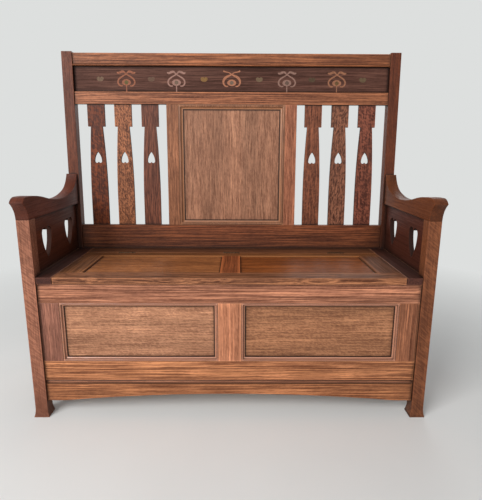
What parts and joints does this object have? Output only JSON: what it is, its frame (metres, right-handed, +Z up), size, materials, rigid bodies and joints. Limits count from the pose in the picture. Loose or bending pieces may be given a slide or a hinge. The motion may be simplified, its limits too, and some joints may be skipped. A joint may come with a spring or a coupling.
{
  "type": "settle bench",
  "caption": "Oak settle with a raked back of pierced slats, a panelled box seat under a lift-up lid, shaped arms and an inlaid frieze.",
  "frame": {"origin": "centre of the bounding box on the floor, under the middle of the bench", "axes": "+X along the bench to the right as seen from the front, +Y from front to back, +Z up"},
  "size_m": [1.2294, 0.487, 1.1614],
  "materials": {
    "oak_frame": "satin wax over red-brown stained quarter-sawn oak",
    "oak_panels": "satin wax over lighter stained oak",
    "oak_seat": "satin wax, worn by use",
    "oak_arms": "satin, darkened by hands",
    "oak_slats": "satin wax over stained oak",
    "oak_frieze": "satin wax over dark stained oak",
    "inlay_pale": "satin, pale wood inlay",
    "inlay_tinted": "satin, tinted wood inlay",
    "softwood_inside": "bare, planed softwood",
    "hinge_steel": "dark oxidised steel",
    "screw_steel": "dull steel"
  },
  "bodies": {
    "bench": {"back_bottom_rail": "oak_frame", "back_centre_panel": "oak_panels", "back_left_stile": "oak_frame", "back_panel_moulding": "oak_frame", "back_right_stile": "oak_frame", "back_slat_1": "oak_slats", "back_slat_2": "oak_slats", "back_slat_3": "oak_slats", "back_slat_4": "oak_slats", "back_slat_5": "oak_slats", "back_slat_6": "oak_slats", "back_top_rail": "oak_frame", "box_back_panel": "softwood_inside", "box_floor_bearers": "softwood_inside", "box_floor_boards": "softwood_inside", "frieze_board": "oak_frieze", "frieze_inlay_buds_and_hearts": "inlay_tinted", "frieze_inlay_scrolls": "inlay_pale", "frieze_lower_rail": "oak_frame", "front_apron": "oak_frame", "front_apron_bead": "oak_frame", "front_bottom_rail": "oak_frame", "front_centre_muntin": "oak_frame", "front_left_panel": "oak_panels", "front_left_stile": "oak_frame", "front_panel_mouldings": "oak_frame", "front_right_panel": "oak_panels", "front_right_stile": "oak_frame", "front_top_rail": "oak_frame", "hinge_frame_leaves": "hinge_steel", "hinge_frame_screws": "screw_steel", "hinge_pins": "hinge_steel", "hinge_rail_bearer": "softwood_inside", "left_arm": "oak_arms", "left_arm_panel": "oak_arms", "left_front_leg": "oak_frame", "left_rear_post": "oak_frame", "left_side_bottom_rail": "oak_frame", "left_side_panel": "oak_panels", "left_side_seat_rail": "oak_frame", "right_arm": "oak_arms", "right_arm_panel": "oak_arms", "right_front_leg": "oak_frame", "right_rear_post": "oak_frame", "right_side_bottom_rail": "oak_frame", "right_side_panel": "oak_panels", "right_side_seat_rail": "oak_frame", "seat_back_rail": "oak_frame", "seat_hinge_rail": "oak_seat", "seat_left_fillet": "oak_seat", "seat_right_fillet": "oak_seat"},
    "lid": {"hinge_lid_leaves": "hinge_steel", "hinge_lid_screws": "screw_steel", "lid_back_rail": "oak_seat", "lid_centre_muntin": "oak_seat", "lid_front_rail": "oak_seat", "lid_left_panel": "oak_seat", "lid_left_stile": "oak_seat", "lid_right_panel": "oak_seat", "lid_right_stile": "oak_seat"}
  },
  "joints": [
    {"name": "lid_hinge", "type": "hinge", "parent": "bench", "child": "lid", "pos_m": [0, 0.10254, 0.455], "axis": [-1, 0, 0], "range_deg": [0, 106.8]}
  ]
}
